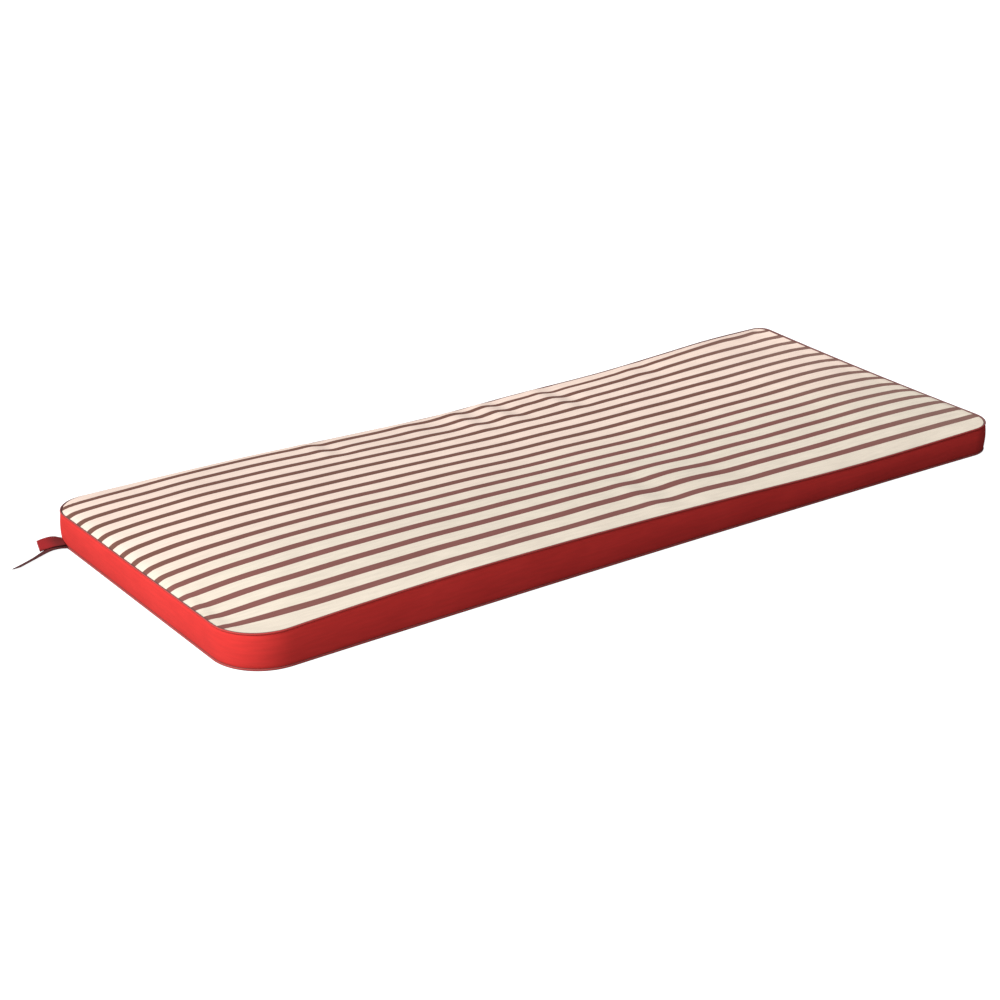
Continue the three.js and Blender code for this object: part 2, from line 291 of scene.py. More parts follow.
class CushionSizes(bpy.types.PropertyGroup):
    """Sizes of the cloth pattern and of the sewn parts"""

    stripe_pitch: length_setting("Stripe pitch", "Distance from one stripe to the next", 0.0325)
    stripe_count: bpy.props.IntProperty(
        name="Stripes", description="Dark stripes across the cushion, an odd number", default=15)
    stripe_width: length_setting("Stripe width", "Width of a dark stripe", 0.012)
    thread_pitch: length_setting(
        "Thread pitch", "Distance between two threads of the canvas", 0.0011)
    piping_radius: length_setting(
        "Piping radius", "Radius of the covered cord in each seam", 0.0015)
    piping_sides: bpy.props.IntProperty(
        name="Piping sides", description="Faces round a piping", default=12)
    tape_width: length_setting("Tape width", "Width of a tie tape", 0.018)
    tape_thickness: length_setting("Tape thickness", "Thickness of a folded tie tape", 0.0014)


class CushionColours(bpy.types.PropertyGroup):
    """Colours of the cloth, with painted shade for the pipings and painted shadow for the tapes"""

    cream: colour_setting("Cream", "Ground of the striped canvas", 0.8, 0.62, 0.52)
    aged_cream: colour_setting(
        "Aged cream", "Ground along the front, where it has greyed", 0.68, 0.59, 0.48)
    stripe: colour_setting("Stripe", "Dark stripes of the canvas", 0.165, 0.075, 0.055)
    aged_stripe: colour_setting(
        "Aged stripe", "Dark stripes along the front, where they have paled", 0.205, 0.08, 0.068)
    paled_stripe: colour_setting(
        "Paled stripe", "Dark stripes at the right end, where they have greyed", 0.225, 0.125, 0.1)
    red: colour_setting("Red", "Canvas of the boxing and the base panel", 0.66, 0.037, 0.032)
    tape: colour_setting("Tape red", "Canvas tape of the ties", 0.3, 0.02, 0.022)
    worn_tape: colour_setting("Worn tape", "Patches of the tape that have paled", 0.5, 0.03, 0.035)
    # Painted shadow: the dark colour put where a tape lies low by the floor and where it leaves
    # its seam
    painted_tape_shadow: colour_setting(
        "Painted tape shadow", "Tape that lies low on the surface or leaves its seam", 0.075, 0.018, 0.018)
    # Painted shade: the colour that darkens the pipings in the fold of the seam and near the floor
    painted_crease_shade: colour_setting(
        "Painted crease shade", "Dark side of the piping, in the fold of the seam", 0.16, 0.07, 0.065)


class CushionStudio(bpy.types.PropertyGroup):
    """Strengths of the studio lights"""

    key: number_setting("Key light", "Strength of the soft sun from the left", 4.1)
    corner: number_setting(
        "Corner light", "Power of the soft box beside the front left corner", 6.5, subtype="POWER")
    fill: number_setting("Fill light", "Strength of the even light from all sides", 0.3)


def dims():
    """The sizes that are set for the scene."""
    return bpy.context.scene.cushion_sizes


def colours():
    """The colours that are set for the scene."""
    return bpy.context.scene.cushion_colours


# Shape of the cushion


@functools.cache
def table_value(name, column, x):
    """A smooth curve through the rows of a table, in the named column."""
    rows = {"seam": SEAM, "crown": CROWN, "stripes": STRIPES}[name]
    return curve_through([(row["x"], row[column]) for row in rows], x)


def curve_through(points, x):
    """Height at x of a smooth curve through points that are (x, height) pairs."""
    last = len(points) - 1
    i = 0
    while i < last - 1 and x > points[i + 1][0]:
        i += 1
    a, b = points[i], points[i + 1]
    before, after = points[max(i - 1, 0)], points[min(i + 2, last)]
    span = b[0] - a[0]
    u = min(max((x - a[0]) / span, 0), 1)
    slope_a = (b[1] - before[1]) / (b[0] - before[0]) * span
    slope_b = (after[1] - a[1]) / (after[0] - a[0]) * span
    u2, u3 = u * u, u * u * u
    return (
        (2 * u3 - 3 * u2 + 1) * a[1]
        + (u3 - 2 * u2 + u) * slope_a
        + (3 * u2 - 2 * u3) * b[1]
        + (u3 - u2) * slope_b
    )


def smoothstep(value, low, high):
    """0 below low and 1 above high, with a smooth rise between."""
    t = min(max((value - low) / (high - low), 0), 1)
    return t * t * (3 - 2 * t)


def corner_radius(x, y):
    """Radius of the outline's corner in the quarter that holds a place."""
    end = "right" if x > 0 else "left"
    side = "back" if y > 0 else "front"
    return CORNER_RADIUS[f"{side}_{end}"]


def inset_at(x, y):
    """Distance of a place in from the outline."""
    radius = corner_radius(x, y)
    qx = abs(x) - HALF_LENGTH + radius
    qy = abs(y) - HALF_WIDTH + radius
    outside = math.hypot(max(qx, 0), max(qy, 0))
    return radius - min(max(qx, qy), 0) - outside


def outward_at(x, y):
    """Level direction that points straight out of the outline."""
    step = 0.01
    dx = inset_at(x - step, y) - inset_at(x + step, y)
    dy = inset_at(x, y - step) - inset_at(x, y + step)
    return Vector((dx, dy)).normalized()


def in_metres(x, y, z):
    """A place of the straight outline, drawn in like the finished cushion, in metres."""
    along_x = DRAW_IN["left"] if x < 0 else DRAW_IN["right"]
    along_y = DRAW_IN["front"] if y < 0 else DRAW_IN["back"]
    share_x = max(0, 1 - (y / HALF_WIDTH) ** 2) / HALF_LENGTH
    share_y = max(0, 1 - (x / HALF_LENGTH) ** 2) / HALF_WIDTH
    return Vector((x * (1 - along_x * share_x), y * (1 - along_y * share_y), z)) * MM


def seam_height(x, y):
    """Height of the top seam, which changes evenly from the front to the back."""
    to_back = min(max((y + HALF_WIDTH) / WIDTH, 0), 1)
    front = table_value("seam", "front", x)
    back = table_value("seam", "back", x)
    return front + (back - front) * to_back


def full_crown(x, y):
    """Crown over the seams, before it falls away at the edge."""
    line = [(at, table_value("crown", name, x)) for name, at in CROWN_LINE_Y.items()]
    return curve_through(line, y)


def pucker_height(x, y, inset):
    """Height that the puckers add at a place."""
    total = 0
    side = "back" if y > 0 else "front"
    for fold in PUCKERS:
        if fold["side"] != side or inset > fold["end"]:
            continue
        share = (inset - fold["start"]) / (fold["end"] - fold["start"])
        across = (x - fold["x"] - fold["lean"] * share) / fold["width"]
        wave = -2 * across * math.exp(0.5 - 2 * across * across)
        begin = smoothstep(
            inset, fold["start"] - PUCKER_START["before"], fold["start"] + PUCKER_START["after"])
        fade = 1 - smoothstep(inset, fold["end"] * PUCKER_FADE_FROM, fold["end"])
        total += fold["height"] * wave * begin * fade
    return total


def unevenness(x, y, inset):
    """Soft lumps of the filling, and small gathers of the cloth beside the seams."""
    soft = noise.noise(Vector((x, y, 0)) / LUMPS["across"])
    settled = smoothstep(inset, LUMPS["from"], LUMPS["to"])
    out = outward_at(x, y)
    along = x * abs(out.y) + y * abs(out.x)
    of_end, of_side = GATHERS["layers"]
    gather = noise.noise(Vector((along, of_side * out.y, of_end * out.x)) / GATHERS["across"])
    near = max(0, 1 - inset / GATHERS["reach"]) ** 2
    near *= smoothstep(inset, GATHERS["from"], GATHERS["to"])
    return LUMPS["height"] * soft * settled + GATHERS["height"] * gather * near


def tuck_depth(x, y):
    """How deep the top cloth dips into the seam that is nearest to a place."""
    out = outward_at(x, y)
    along_x = RIM_TUCK["left"] if out.x < 0 else RIM_TUCK["right"]
    along_y = RIM_TUCK["front"] if out.y < 0 else RIM_TUCK["back"]
    return along_x * out.x * out.x + along_y * out.y * out.y


def top_height(x, y):
    """Height of the striped cloth over a place of the outline."""
    inset = inset_at(x, y)
    rise = 1 - (1 - min(inset / CROWN_REACH, 1)) ** CROWN_POWER
    free = min(max(0, 1 - (inset - RIM_INSET) / TUCK_REACH), 1)
    z = seam_height(x, y) + TOP_START_RISE + full_crown(x, y) * rise
    z -= tuck_depth(x, y) * free * free if free else 0
    return z + pucker_height(x, y, inset) + unevenness(x, y, inset)


def outline_stations(inset):
    """Places round the outline, as far in from it as inset, with their outward directions."""
    stations = []
    for sign_x, sign_y, start in ((1, -1, 270), (1, 1, 0), (-1, 1, 90), (-1, -1, 180)):
        radius = corner_radius(sign_x, sign_y)
        centre = Vector((sign_x * (HALF_LENGTH - radius), sign_y * (HALF_WIDTH - radius)))
        steps = round(90 / CORNER_STEP)
        for i in range(steps + 1):
            angle = math.radians(start + 90 * i / steps)
            out = Vector((math.cos(angle), math.sin(angle)))
            stations.append((centre + radius * out, out))
    finer = []
    for (here, out), (after, out_after) in zip(stations, stations[1:] + stations[:1]):
        finer.append((here - out * inset, out))
        count = round((after - here).length / SIDE_STEP)
        straight = out.dot(out_after) > STRAIGHT_ON
        for i in range(1, count if straight else 1):
            finer.append((here.lerp(after, i / count) - out * inset, out))
    return finer


def bulge(share):
    """How far the boxing bulges out at a share of its height."""
    return BULGE * math.sin(math.pi * share)


# Mesh helpers


def link_object(name, data):
    """A new object of the scene for a mesh, a camera or a light."""
    made = bpy.data.objects.new(name, data)
    bpy.context.scene.collection.objects.link(made)
    return made


def new_piece(name, places, faces, cloth=(), turn=0, smooth=True):
    """A mesh object. The cloth holds each place's spot on it, and a strip of cloth that is turn
    long is joined end to end."""
    mesh = bpy.data.meshes.new(name)
    mesh.from_pydata(places, [], faces)
    if cloth:
        spots = []
        for face in faces:
            along = [cloth[i][0] for i in face]
            joined = turn and max(along) - min(along) > turn / 2
            for u, v in (cloth[i] for i in face):
                spots.append((u + turn if joined and u < turn / 2 else u, v))
        for loop, spot in zip(mesh.uv_layers.new(name="cloth").data, spots):
            loop.uv = spot
    mesh.polygons.foreach_set("use_smooth", [smooth] * len(mesh.polygons))
    mesh.validate()
    mesh.update()
    return link_object(name, mesh)


def ring_faces(rings, size, joined):
    """Quads between closed rings of equal size. The last ring is joined to the first, or both are
    closed by a face."""
    faces = []
    for i in range(rings if joined else rings - 1):
        low, high = i * size, (i + 1) % rings * size
        for j in range(size):
            k = (j + 1) % size
            faces.append((low + j, low + k, high + k, high + j))
    if not joined:
        faces.append(tuple(reversed(range(size))))
        faces.append(tuple(range((rings - 1) * size, rings * size)))
    return faces


def finish_piece(piece, slot, node):
    """Gives a piece the material of its slot and its body, and hides the imported part that it
    stands for.
    """
    if not piece.data.materials:
        piece.data.materials.append(finish(slot))
    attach(piece, BODY)
    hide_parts(node)


def run_nodes(piece, tree, values):
    """Runs a geometry node tree on a piece and keeps the result as its plain mesh."""
    modifier = piece.modifiers.new(tree.name, "NODES")
    modifier.node_group = tree
    for item in tree.interface.items_tree:
        if item.name in values:
            modifier[item.identifier] = values[item.name]
    piece.update_tag()
    made = piece.evaluated_get(bpy.context.evaluated_depsgraph_get())
    mesh = bpy.data.meshes.new_from_object(made)
    mesh.name = piece.name
    piece.modifiers.clear()
    piece.data = mesh
    return piece


# Node helpers


def feed(tree, node, inputs):
    """Links each named or numbered input of a node to a socket, or sets its value."""
    for key, value in inputs.items():
        if isinstance(value, bpy.types.NodeSocket):
            tree.links.new(value, node.inputs[key])
        else:
            node.inputs[key].default_value = value


def add(tree, kind, inputs=None, **settings):
    """The outputs of a new node, with some of its settings and inputs given."""
    node = tree.nodes.new(kind)
    for key, value in settings.items():
        setattr(node, key, value)
    feed(tree, node, inputs or {})
    return node.outputs


def calc(tree, operation, *values):
    """A Math node's result."""
    return add(tree, "ShaderNodeMath", dict(enumerate(values)), operation=operation)[0]


def remapped(tree, *values):
    """A value moved smoothly from one range to another, or else to the range from 0 to 1."""
    inputs = dict(enumerate(values))
    return add(tree, "ShaderNodeMapRange", inputs, interpolation_type="SMOOTHSTEP")[0]


def mixed(tree, factor, first, second, blend="MIX"):
    """The colour of a Mix node, which takes its two colours at 6 and 7."""
    inputs = {"Factor": factor, 6: first, 7: second}
    return add(tree, "ShaderNodeMix", inputs, data_type="RGBA", blend_type=blend)[2]


def split(tree, vector):
    """The X, Y and Z of a vector."""
    return add(tree, "ShaderNodeSeparateXYZ", {0: vector})


def new_group(name, kind, sockets_in, sockets_out):
    """A node group with its named sockets, each with its short type and perhaps a default."""
    tree = bpy.data.node_groups.new(name, kind)
    for way, sockets in (("INPUT", sockets_in), ("OUTPUT", sockets_out)):
        for title, (socket_type, *default) in sockets.items():
            socket = tree.interface.new_socket(
                title, in_out=way, socket_type=f"NodeSocket{socket_type}")
            if default:
                socket.default_value = default[0]
    return tree, tree.nodes.new("NodeGroupInput").outputs, tree.nodes.new("NodeGroupOutput")


# Cloth finishes


@functools.cache
def weave_group():
    """Plain weave of round threads, with its height and the shade between the threads."""
    tree, given, result = new_group(
        "plain_weave",
        "ShaderNodeTree",
        {"Cloth Place": ["Vector"], "Thread Pitch": ["Float", 0.001]},
        {"Height": ["Float"], "Shade": ["Float"]},
    )
    place = split(tree, given["Cloth Place"])
    waves = []
    for axis in ("X", "Y"):
        turns = calc(tree, "DIVIDE", place[axis], given["Thread Pitch"])
        waves.append(calc(tree, "SINE", calc(tree, "MULTIPLY", turns, math.pi)))
    over = calc(tree, "MULTIPLY_ADD", calc(tree, "MULTIPLY", *waves), 0.5, 0.5)
    warp, weft = (calc(tree, "ABSOLUTE", wave) for wave in waves)
    warp_part = calc(tree, "MULTIPLY", warp, over)
    weft_part = calc(tree, "MULTIPLY", weft, calc(tree, "SUBTRACT", 1.0, over))
    height = calc(tree, "ADD", warp_part, weft_part)
    shade = remapped(tree, height, *THREAD_HEIGHTS)
    feed(tree, result, {"Height": height, "Shade": shade})
    return tree


@functools.cache
def mottle_group():
    """Uneven dye, and slubs along the threads."""
    tree, given, result = new_group(
        "cloth_mottle",
        "ShaderNodeTree",
        {
            "Cloth Place": ["Vector"],
            "Patch Scale": ["Float", PATCHES["scale"]],
            "Slub Scale": ["Float", SLUBS["scale"]],
        },
        {"Patches": ["Float"], "Slubs": ["Float"]},
    )
    place = given["Cloth Place"]
    patches = {
        "Vector": place,
        "Scale": given["Patch Scale"],
        "Detail": PATCHES["detail"],
        "Roughness": PATCHES["roughness"],
    }
    along = add(tree, "ShaderNodeMapping", {"Scale": SLUBS["stretched"], "Vector": place})
    slubs = {"Vector": along[0], "Scale": given["Slub Scale"], "Detail": SLUBS["detail"]}
    for title, inputs in (("Patches", patches), ("Slubs", slubs)):
        made = add(tree, "ShaderNodeTexNoise", inputs, noise_dimensions="3D")
        feed(tree, result, {title: made[0]})
    return tree


def cloth_material(name, place_node, colour, weave_turn=0.0):
    """A matt woven cloth. place_node adds the node that gives the place on the cloth, and
    colour gives the ground colour from the tree, that place and the cloth's noises."""
    material = bpy.data.materials.new(name)
    material.use_nodes = True
    tree = material.node_tree
    place = place_node(tree)
    turned = add(tree, "ShaderNodeMapping", {"Rotation": (0.0, 0.0, weave_turn), "Vector": place})
    threads = {"Cloth Place": turned[0], "Thread Pitch": dims().thread_pitch}
    weave = add(tree, "ShaderNodeGroup", threads, node_tree=weave_group())
    mottle = add(tree, "ShaderNodeGroup", {"Cloth Place": place}, node_tree=mottle_group())
    patch_shade = remapped(tree, mottle["Patches"], *USUAL, *PATCH_SHADES)
    slub_shade = remapped(tree, mottle["Slubs"], *USUAL, *SLUB_SHADES)
    thread_shade = remapped(tree, weave["Shade"], 0.0, 1.0, *THREAD_SHADES)
    shade = calc(tree, "MULTIPLY", calc(tree, "MULTIPLY", patch_shade, slub_shade), thread_shade)
    grey = add(tree, "ShaderNodeCombineColor", {0: shade, 1: shade, 2: shade})
    height = calc(tree, "MULTIPLY_ADD", mottle["Slubs"], SLUBS["height"], weave["Height"])
    raised = {"Strength": BUMP[name], "Distance": BUMP_DISTANCE, "Height": height}
    feed(tree, tree.nodes["Principled BSDF"], {
        "Base Color": mixed(tree, 1.0, colour(tree, place, mottle), grey[0], "MULTIPLY"),
        "Roughness": remapped(tree, mottle["Slubs"], *USUAL, *ROUGHNESS),
        "Normal": add(tree, "ShaderNodeBump", raised)[0],
        **SHEEN,
    })
    return material


def cloth_uv(tree):
    """Place on a piece's own cloth, in metres."""
    return add(tree, "ShaderNodeUVMap", uv_map="cloth")[0]


def cord_place(tree):
    """Place on a piping: along it, and round it at its real size."""
    along, around = (
        add(tree, "ShaderNodeAttribute", attribute_name=name)["Fac"]
        for name in ("along", "around"))
    girth = calc(tree, "MULTIPLY", around, 2 * math.pi * dims().piping_radius)
    return add(tree, "ShaderNodeCombineXYZ", {0: along, 1: girth})[0]


def striped_ground(tree, place, mottle):
    """Cream with even dark stripes along the cloth."""
    pitch, width, kinds = dims().stripe_pitch, dims().stripe_width, colours()
    at = split(tree, place)
    ragged = calc(tree, "SUBTRACT", mottle["Slubs"], NOISE_MIDDLE)
    shifted = calc(tree, "MULTIPLY_ADD", ragged, STRIPE_EDGE["ragged"], at["Y"])
    turns = calc(tree, "DIVIDE", shifted, pitch)
    outermost = (dims().stripe_count - 1) / 2
    nearest = calc(tree, "ROUND", calc(tree, "MINIMUM", turns, outermost))
    nearest = calc(tree, "MAXIMUM", nearest, -outermost)
    away = calc(tree, "ABSOLUTE", calc(tree, "SUBTRACT", turns, nearest))
    last = remapped(tree, turns, *(outermost - before for before in LAST_STRIPE_TAKEN["before"]))
    start, end = LAST_STRIPE_TAKEN["from_x"], LAST_STRIPE_TAKEN["to_x"]
    taken = remapped(tree, at["X"], start, end, 0.0, LAST_STRIPE_TAKEN["share"])
    away = calc(tree, "MULTIPLY_ADD", last, taken, away)
    half = width / pitch / 2
    soft = STRIPE_EDGE["soft"] / pitch
    mask = remapped(tree, away, half - soft, half + soft, 1.0, 0.0)
    front = remapped(tree, at["Y"], AGED["from_y"], AGED["to_y"])
    uneven = calc(tree, "SUBTRACT", mottle["Patches"], NOISE_MIDDLE)
    aged = calc(tree, "MULTIPLY_ADD", uneven, AGED["uneven"], front)
    aged = remapped(tree, aged, 0.0, 1.0)
    cream = mixed(tree, aged, kinds.cream, kinds.aged_cream)
    stripe = mixed(tree, aged, kinds.stripe, kinds.aged_stripe)
    paled = remapped(tree, at["X"], PALED["from_x"], PALED["to_x"], 0.0, PALED["share"])
    stripe = mixed(tree, paled, stripe, kinds.paled_stripe)
    return mixed(tree, mask, cream, stripe)


def plain_ground(colour, paler):
    """A ground function for dyed cloth that pales a little in patches."""

    def ground(tree, place, mottle):
        share = remapped(
            tree, mottle["Patches"], *PALE_PATCHES["range"], 0.0, PALE_PATCHES["share"])
        return mixed(tree, share, colour, paler)

    return ground


def piping_shade_ground(plain):
    """The same ground with painted shade on a piping: dark in the fold of its seam and near the
    floor.
    """

    def ground(tree, place, mottle):
        spot = add(tree, "ShaderNodeNewGeometry")
        facing = split(tree, spot["Normal"])
        at = split(tree, spot["Position"])
        folded = 0.0
        for axis, reach in (("X", HALF_LENGTH * MM), ("Y", HALF_WIDTH * MM)):
            share = calc(tree, "DIVIDE", at[axis], -reach)
            near = calc(tree, "POWER", calc(tree, "ABSOLUTE", share), UPPER_PAINTED_SHADE["power"])
            inward = calc(tree, "MULTIPLY", share, facing[axis])
            folded = calc(tree, "MULTIPLY_ADD", inward, near, folded)
        # Painted shade: darker where the piping faces into its fold, and lower down near the floor
        upper = remapped(tree, folded, *UPPER_PAINTED_SHADE["facing"], *UPPER_PAINTED_SHADE["shares"])
        lower = remapped(tree, at["Z"], *LOWER_PAINTED_SHADE["heights"], *LOWER_PAINTED_SHADE["shares"])
        mask = calc(tree, "MAXIMUM", upper, lower)
        return mixed(tree, mask, plain(tree, place, mottle), colours().painted_crease_shade)

    return ground


def shadowed_tape_ground(plain):
    """The same ground with painted shadow: dark where a tape lies low and where it leaves its
    seam.
    """

    def ground(tree, place, mottle):
        at = split(tree, add(tree, "ShaderNodeNewGeometry")["Position"])
        unshaded = 1.0
        # Painted shadow: the tape is darkened low by the floor and near its root at the seam
        for axis, (start, end, least) in UNSHADED_TAPE.items():
            unshaded = calc(tree, "MULTIPLY", remapped(tree, at[axis], start, end, least, 1.0), unshaded)
        return mixed(tree, unshaded, colours().painted_tape_shadow, plain(tree, place, mottle))

    return ground


@functools.cache
def finish(name):
    """The material of a kind of cloth, made once."""
    red = plain_ground(colours().red, PALER_RED)
    tape = plain_ground(colours().tape, colours().worn_tape)
    grounds = {"top_cloth": striped_ground, "side_cloth": red, "tie_tape": shadowed_tape_ground(tape)}
    if name == "piping_cloth":
        return cloth_material(name, cord_place, piping_shade_ground(red), PIPING_BIAS)
    return cloth_material(name, cloth_uv, grounds[name])


# Geometry node trees


def named_values(tree, curve, name, values):
    """A curve that keeps values on its points under a name."""
    inputs = {"Geometry": curve[0], "Name": name, "Value": values}
    kind = "GeometryNodeStoreNamedAttribute"
    return add(tree, kind, inputs, data_type="FLOAT", domain="POINT")


@functools.cache
def piping_tree():
    """Sweeps a round covered cord along a path of edges."""
    tree, given, result = new_group(
        "swept_piping",
        "GeometryNodeTree",
        {
            "Geometry": ["Geometry"],
            "Radius": ["Float", 0.0015],
            "Sides": ["Int", 12],
            "Unevenness": ["Float", PIPING_LUMPS["share"]],
        },
        {"Geometry": ["Geometry"]},
    )
    parameter = add(tree, "GeometryNodeSplineParameter")
    path = add(tree, "GeometryNodeMeshToCurve", {0: given["Geometry"]})
    along = named_values(tree, path, "along", parameter["Length"])
    lumps = add(
        tree, "ShaderNodeTexNoise", {"Scale": PIPING_LUMPS["scale"]}, noise_dimensions="3D")
    change = calc(tree, "SUBTRACT", lumps[0], NOISE_MIDDLE)
    change = calc(tree, "MULTIPLY", change, given["Unevenness"])
    thick = calc(tree, "MULTIPLY_ADD", change, 2.0, 1.0)
    circle = {"Resolution": given["Sides"], "Radius": given["Radius"]}
    section = add(tree, "GeometryNodeCurvePrimitiveCircle", circle, mode="RADIUS")
    around = named_values(tree, section, "around", parameter["Factor"])
    swept = {"Curve": along[0], "Profile Curve": around[0], "Scale": thick}
    sweep = add(tree, "GeometryNodeCurveToMesh", swept)
    smooth = add(tree, "GeometryNodeSetShadeSmooth", {0: sweep[0]})
    real = add(tree, "GeometryNodeRealizeInstances", {0: smooth[0]})
    cloth = {"Geometry": real[0], "Material": finish("piping_cloth")}
    feed(tree, result, {0: add(tree, "GeometryNodeSetMaterial", cloth)[0]})
    return tree


# Filled top


def spaced(start, end, step):
    """Even values from start to end at about a step, without the two ends."""
    count = max(1, round((end - start) / step))
    return [start + (end - start) * i / count for i in range(1, count)]


def top_columns():
    """Places along the length, close together where the corners turn."""
    left, right = (
        max(corner_radius(end, -1), corner_radius(end, 1)) - RIM_INSET for end in (-1, 1))
    reach = HALF_LENGTH - RIM_INSET
    angles = [math.pi / 2 * i / END_ANGLES for i in range(END_ANGLES + 1)]
    left_part = [-reach + left * (1 - math.cos(angle)) for angle in angles]
    right_part = [reach - right * (1 - math.cos(angle)) for angle in reversed(angles)]
    return left_part + spaced(left_part[-1], right_part[0], TOP_STEP) + right_part


def top_shares():
    """Shares of the way across the top, close together beside the seams."""
    full = WIDTH - 2 * RIM_INSET
    near = [distance / full for distance in EDGE_DISTANCES]
    far = [1 - share for share in reversed(near)]
    return near + spaced(near[-1], far[0], TOP_STEP / full) + far


def side_of_top(x, side):
    """Y of the top's edge at a place along the length, on the side -1 front or 1 back."""
    radius = corner_radius(x, side)
    over = max(0, abs(x) - (HALF_LENGTH - radius))
    inner = radius - RIM_INSET
    return side * (HALF_WIDTH - radius + math.sqrt(max(0, inner * inner - over * over)))


def rim_loop(columns, rows):
    """Indices of the top grid's edge, anticlockwise from the front left."""
    front = [i * rows for i in range(columns)]
    right = [(columns - 1) * rows + j for j in range(1, rows)]
    back = [i * rows + rows - 1 for i in range(columns - 2, -1, -1)]
    left = list(range(rows - 2, 0, -1))
    return front + right + back + left


def make_filled_top():
    """One closed body: crowned top, sides behind the boxing, and a flat underside."""
    columns = top_columns()
    shares = top_shares()
    rows = len(shares)
    flat = []
    for x in columns:
        front, back = side_of_top(x, -1), side_of_top(x, 1)
        flat.extend((x, front + (back - front) * share) for share in shares)
    places = [in_metres(x, y, top_height(x, y)) for x, y in flat]
    faces = []
    for i in range(len(columns) - 1):
        for j in range(rows - 1):
            a = i * rows + j
            faces.append((a, a + rows, a + rows + 1, a + 1))
    loop = rim_loop(len(columns), rows)
    size = len(loop)
    ring = loop
    for inset, height in side_levels():
        start = len(places)
        for index in loop:
            x, y = flat[index]
            out = outward_at(x, y)
            at_x, at_y = x + out.x * (RIM_INSET - inset), y + out.y * (RIM_INSET - inset)
            places.append(in_metres(at_x, at_y, height(at_x, at_y)))
            flat.append((at_x, at_y))
        below = list(range(start, start + size))
        faces.extend(
            (ring[k], below[k], below[(k + 1) % size], ring[(k + 1) % size]) for k in range(size))
        ring = below
    faces.extend(underside_faces(ring, len(columns), rows))
    cloth = [striped_cloth_place(x, y) for x, y in flat]
    return new_piece("cushion_top", places, faces, cloth)


def striped_cloth_place(x, y):
    """Place on the striped cloth: along it, and across it in even stripes."""
    pitch = dims().stripe_pitch
    near_back = smoothstep(y, LAST_STRIPE_FADE["from_y"], LAST_STRIPE_FADE["to_y"])
    shifted = y + curve_through(LAST_STRIPE, x) * near_back
    bent = smoothstep(x, END_BEND["from_x"], END_BEND["to_x"])
    shifted += END_BEND["by"] * bent * smoothstep(y, END_BEND["from_y"], END_BEND["to_y"])
    across = (shifted - table_value("stripes", "middle", x)) / table_value("stripes", "pitch", x)
    return x * MM, across * pitch


def side_levels():
    """Insets and heights of the filled body's rings below its top edge."""
    behind = CLOTH + GAP
    low = BASE_SEAM_Z + RIM_CLEAR

    def high(x, y):
        tucked = TOP_START_RISE - tuck_depth(x, y) - 2 * RIM_SLANT
        return seam_height(x, y) + min(-RIM_CLEAR, tucked)

    levels = [(RIM_INSET, lambda x, y: high(x, y) + RIM_SLANT)]
    for share in SIDE_SHARES:
        levels.append(
            (behind - bulge(share), lambda x, y, s=share: low + (high(x, y) - low) * s))
    levels.append((RIM_INSET, lambda x, y: low - RIM_SLANT))
    levels.append((RIM_INSET, lambda x, y: behind))
    return levels


def underside_faces(ring, columns, rows):
    """Faces that close the flat underside, from the front edge to the back edge."""
    front = ring[:columns]
    right = ring[columns - 1 : columns + rows - 1]
    back = ring[columns + rows - 2 : 2 * columns + rows - 2][::-1]
    left = [back[0], *ring[2 * columns + rows - 2 :], front[0]]
    faces = [(front[1], front[0], *left[1:-1][::-1], back[0], back[1])]
    for i in range(1, columns - 2):
        faces.append((front[i + 1], front[i], back[i], back[i + 1]))
    faces.append((*right[::-1][:-1], right[0], front[-2], back[-2]))
    return faces


# Boxing, base panel and pipings


def boxing_waves(along, share):
    """Soft dents of the strip between the pipings."""
    spot = (along / SIDE_WAVES["across"], share * SIDE_WAVES["share_step"], SIDE_WAVES["layer"])
    return SIDE_WAVES["height"] * noise.noise(Vector(spot)) * math.sin(math.pi * share)


def boxing_section():
    """Outer face of the strip from its low edge to its high edge, then its inner face back. A row
    is a share of the height and how far in from the outline."""
    section = []
    for share in BOXING_SHARES:
        edge = min(share, 1 - share)
        settled = smoothstep(edge, BOXING_EDGE["settled_from"], BOXING_EDGE["settled_by"])
        section.append((share, BOXING_EDGE["turned_in"] * (1 - settled) - bulge(share)))
    section += [(share, CLOTH - bulge(share)) for share in reversed(BOXING_SHARES)]
    return section


def make_boxing():
    """The red strip round the sides, with its own thickness."""
    stations = outline_stations(0)
    radius = dims().piping_radius / MM
    section = boxing_section()
    low = BASE_SEAM_Z + radius + BOXING_EDGE["clear"]
    lengths = [0.0]
    for (a, _), (b, _) in zip(stations, stations[1:] + stations[:1]):
        lengths.append(lengths[-1] + (b - a).length)
    total = lengths[-1]
    reach = total / SIDE_WAVES["turn"]
    places, cloth = [], []
    for row, (share, inset) in enumerate(section):
        for (spot, out), along in zip(stations, lengths):
            shift = -inset
            if row < len(section) / 2:
                angle = 2 * math.pi * along / total
                ripple = boxing_waves(reach * math.cos(angle), share)
                ripple += boxing_waves(reach * math.sin(angle) + SIDE_WAVES["further"], share)
                shift += ripple / 2
            x, y = spot.x + out.x * shift, spot.y + out.y * shift
            high = seam_height(spot.x, spot.y) - radius - BOXING_EDGE["clear"]
            z = low + (high - low) * share
            places.append(in_metres(x, y, z))
            cloth.append((along * MM, z * MM))
    faces = ring_faces(len(section), len(stations), True)
    return new_piece("boxing_strip", places, faces, cloth, total * MM)


def make_base_panel():
    """The plain flat cloth underneath, which rests on the surface."""
    edge = PIPING_INSET + dims().piping_radius / MM + GAP
    further = edge + BASE_ROUNDING
    section = (
        (further, 0), (edge, BASE_ROUNDING), (edge, CLOTH - BASE_ROUNDING), (further, CLOTH))
    places = []
    for inset, z in section:
        places.extend(in_metres(spot.x, spot.y, z) for spot, _ in outline_stations(inset))
    faces = ring_faces(len(section), len(places) // len(section), False)
    return new_piece("base_cloth", places, faces, [place.xy for place in places])


